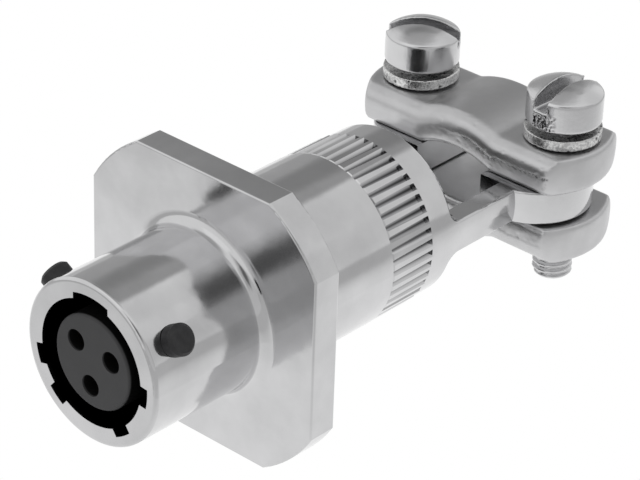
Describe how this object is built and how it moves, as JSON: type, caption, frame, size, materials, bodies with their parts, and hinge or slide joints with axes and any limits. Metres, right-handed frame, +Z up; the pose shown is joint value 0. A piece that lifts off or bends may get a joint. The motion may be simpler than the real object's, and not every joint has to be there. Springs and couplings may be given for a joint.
{
  "type": "circular connector",
  "caption": "Circular cable receptacle with a bayonet lock, square flange, fluted screw-on endbell and a bar clamp for the cable.",
  "frame": {"origin": "centre of the mating face, on the connector's axis", "axes": "+Y along the connector's axis from the mating face to the cable clamp, +Z up with the main keyway and the screw heads, +X to the right seen from the front"},
  "size_m": [0.0206, 0.0448, 0.0206],
  "materials": {
    "shell_plating": "satin electroless nickel over turned aluminium",
    "endbell_plating": "satin electroless nickel over turned and milled aluminium",
    "saddle_plating": "satin nickel over bent and tumbled steel bar",
    "screw_plating": "bright nickel over headed steel",
    "washer_steel": "dull zinc over coiled spring steel",
    "pin_steel": "blackened stainless steel",
    "insert_rubber": "matt moulded synthetic rubber",
    "grommet_rubber": "matt moulded silicone rubber",
    "insulator_plastic": "moulded thermoset",
    "follower_plastic": "moulded black nylon",
    "contact_gold": "gold over turned copper alloy",
    "hood_steel": "drawn stainless steel",
    "clip_copper": "rolled beryllium copper"
  },
  "bodies": {
    "receptacle": {"receptacle_shell": "shell_plating", "front_insert": "insert_rubber", "hard_insulator": "insulator_plastic", "rear_grommet": "grommet_rubber", "bayonet_pin_1": "pin_steel", "bayonet_pin_2": "pin_steel", "bayonet_pin_3": "pin_steel", "socket_contact_1": "contact_gold", "socket_contact_2": "contact_gold", "socket_contact_3": "contact_gold", "contact_hood_1": "hood_steel", "contact_hood_2": "hood_steel", "contact_hood_3": "hood_steel", "retention_clip_1": "clip_copper", "retention_clip_2": "clip_copper", "retention_clip_3": "clip_copper"},
    "follower": {"grommet_follower": "follower_plastic"},
    "endbell": {"endbell": "endbell_plating", "upper_saddle": "saddle_plating", "lock_washer_left": "washer_steel", "lock_washer_right": "washer_steel"},
    "lower_bar": {"lower_saddle": "saddle_plating"},
    "left_screw": {"clamp_screw_left": "screw_plating"},
    "right_screw": {"clamp_screw_right": "screw_plating"}
  },
  "joints": [
    {"name": "follower_slide", "type": "slide", "parent": "receptacle", "child": "follower", "axis": [0, 1, 0], "range_m": [0, 0.0048]},
    {"name": "endbell_unscrew", "type": "hinge", "parent": "follower", "child": "endbell", "pos_m": [0, 0.025, 0], "axis": [0, 1, 0], "range_deg": [0, 1890]},
    {"name": "lower_bar_drop", "type": "slide", "parent": "endbell", "child": "lower_bar", "axis": [0, 0, -1], "range_m": [0, 0.0028]},
    {"name": "left_screw_turn", "type": "hinge", "parent": "endbell", "child": "left_screw", "pos_m": [-0.0067, 0.0407, 0.005], "axis": [0, 0, 1], "range_deg": [0, 2026]},
    {"name": "right_screw_turn", "type": "hinge", "parent": "endbell", "child": "right_screw", "pos_m": [0.0067, 0.0407, 0.005], "axis": [0, 0, 1], "range_deg": [0, 2026]}
  ],
  "couplings": [
    {"joint": "follower_slide", "follows": "endbell_unscrew", "m_per_rad": 0.00014435},
    {"joint": "left_screw_turn", "follows": "lower_bar_drop", "rad_per_m": 12566},
    {"joint": "right_screw_turn", "follows": "lower_bar_drop", "rad_per_m": 12566}
  ]
}
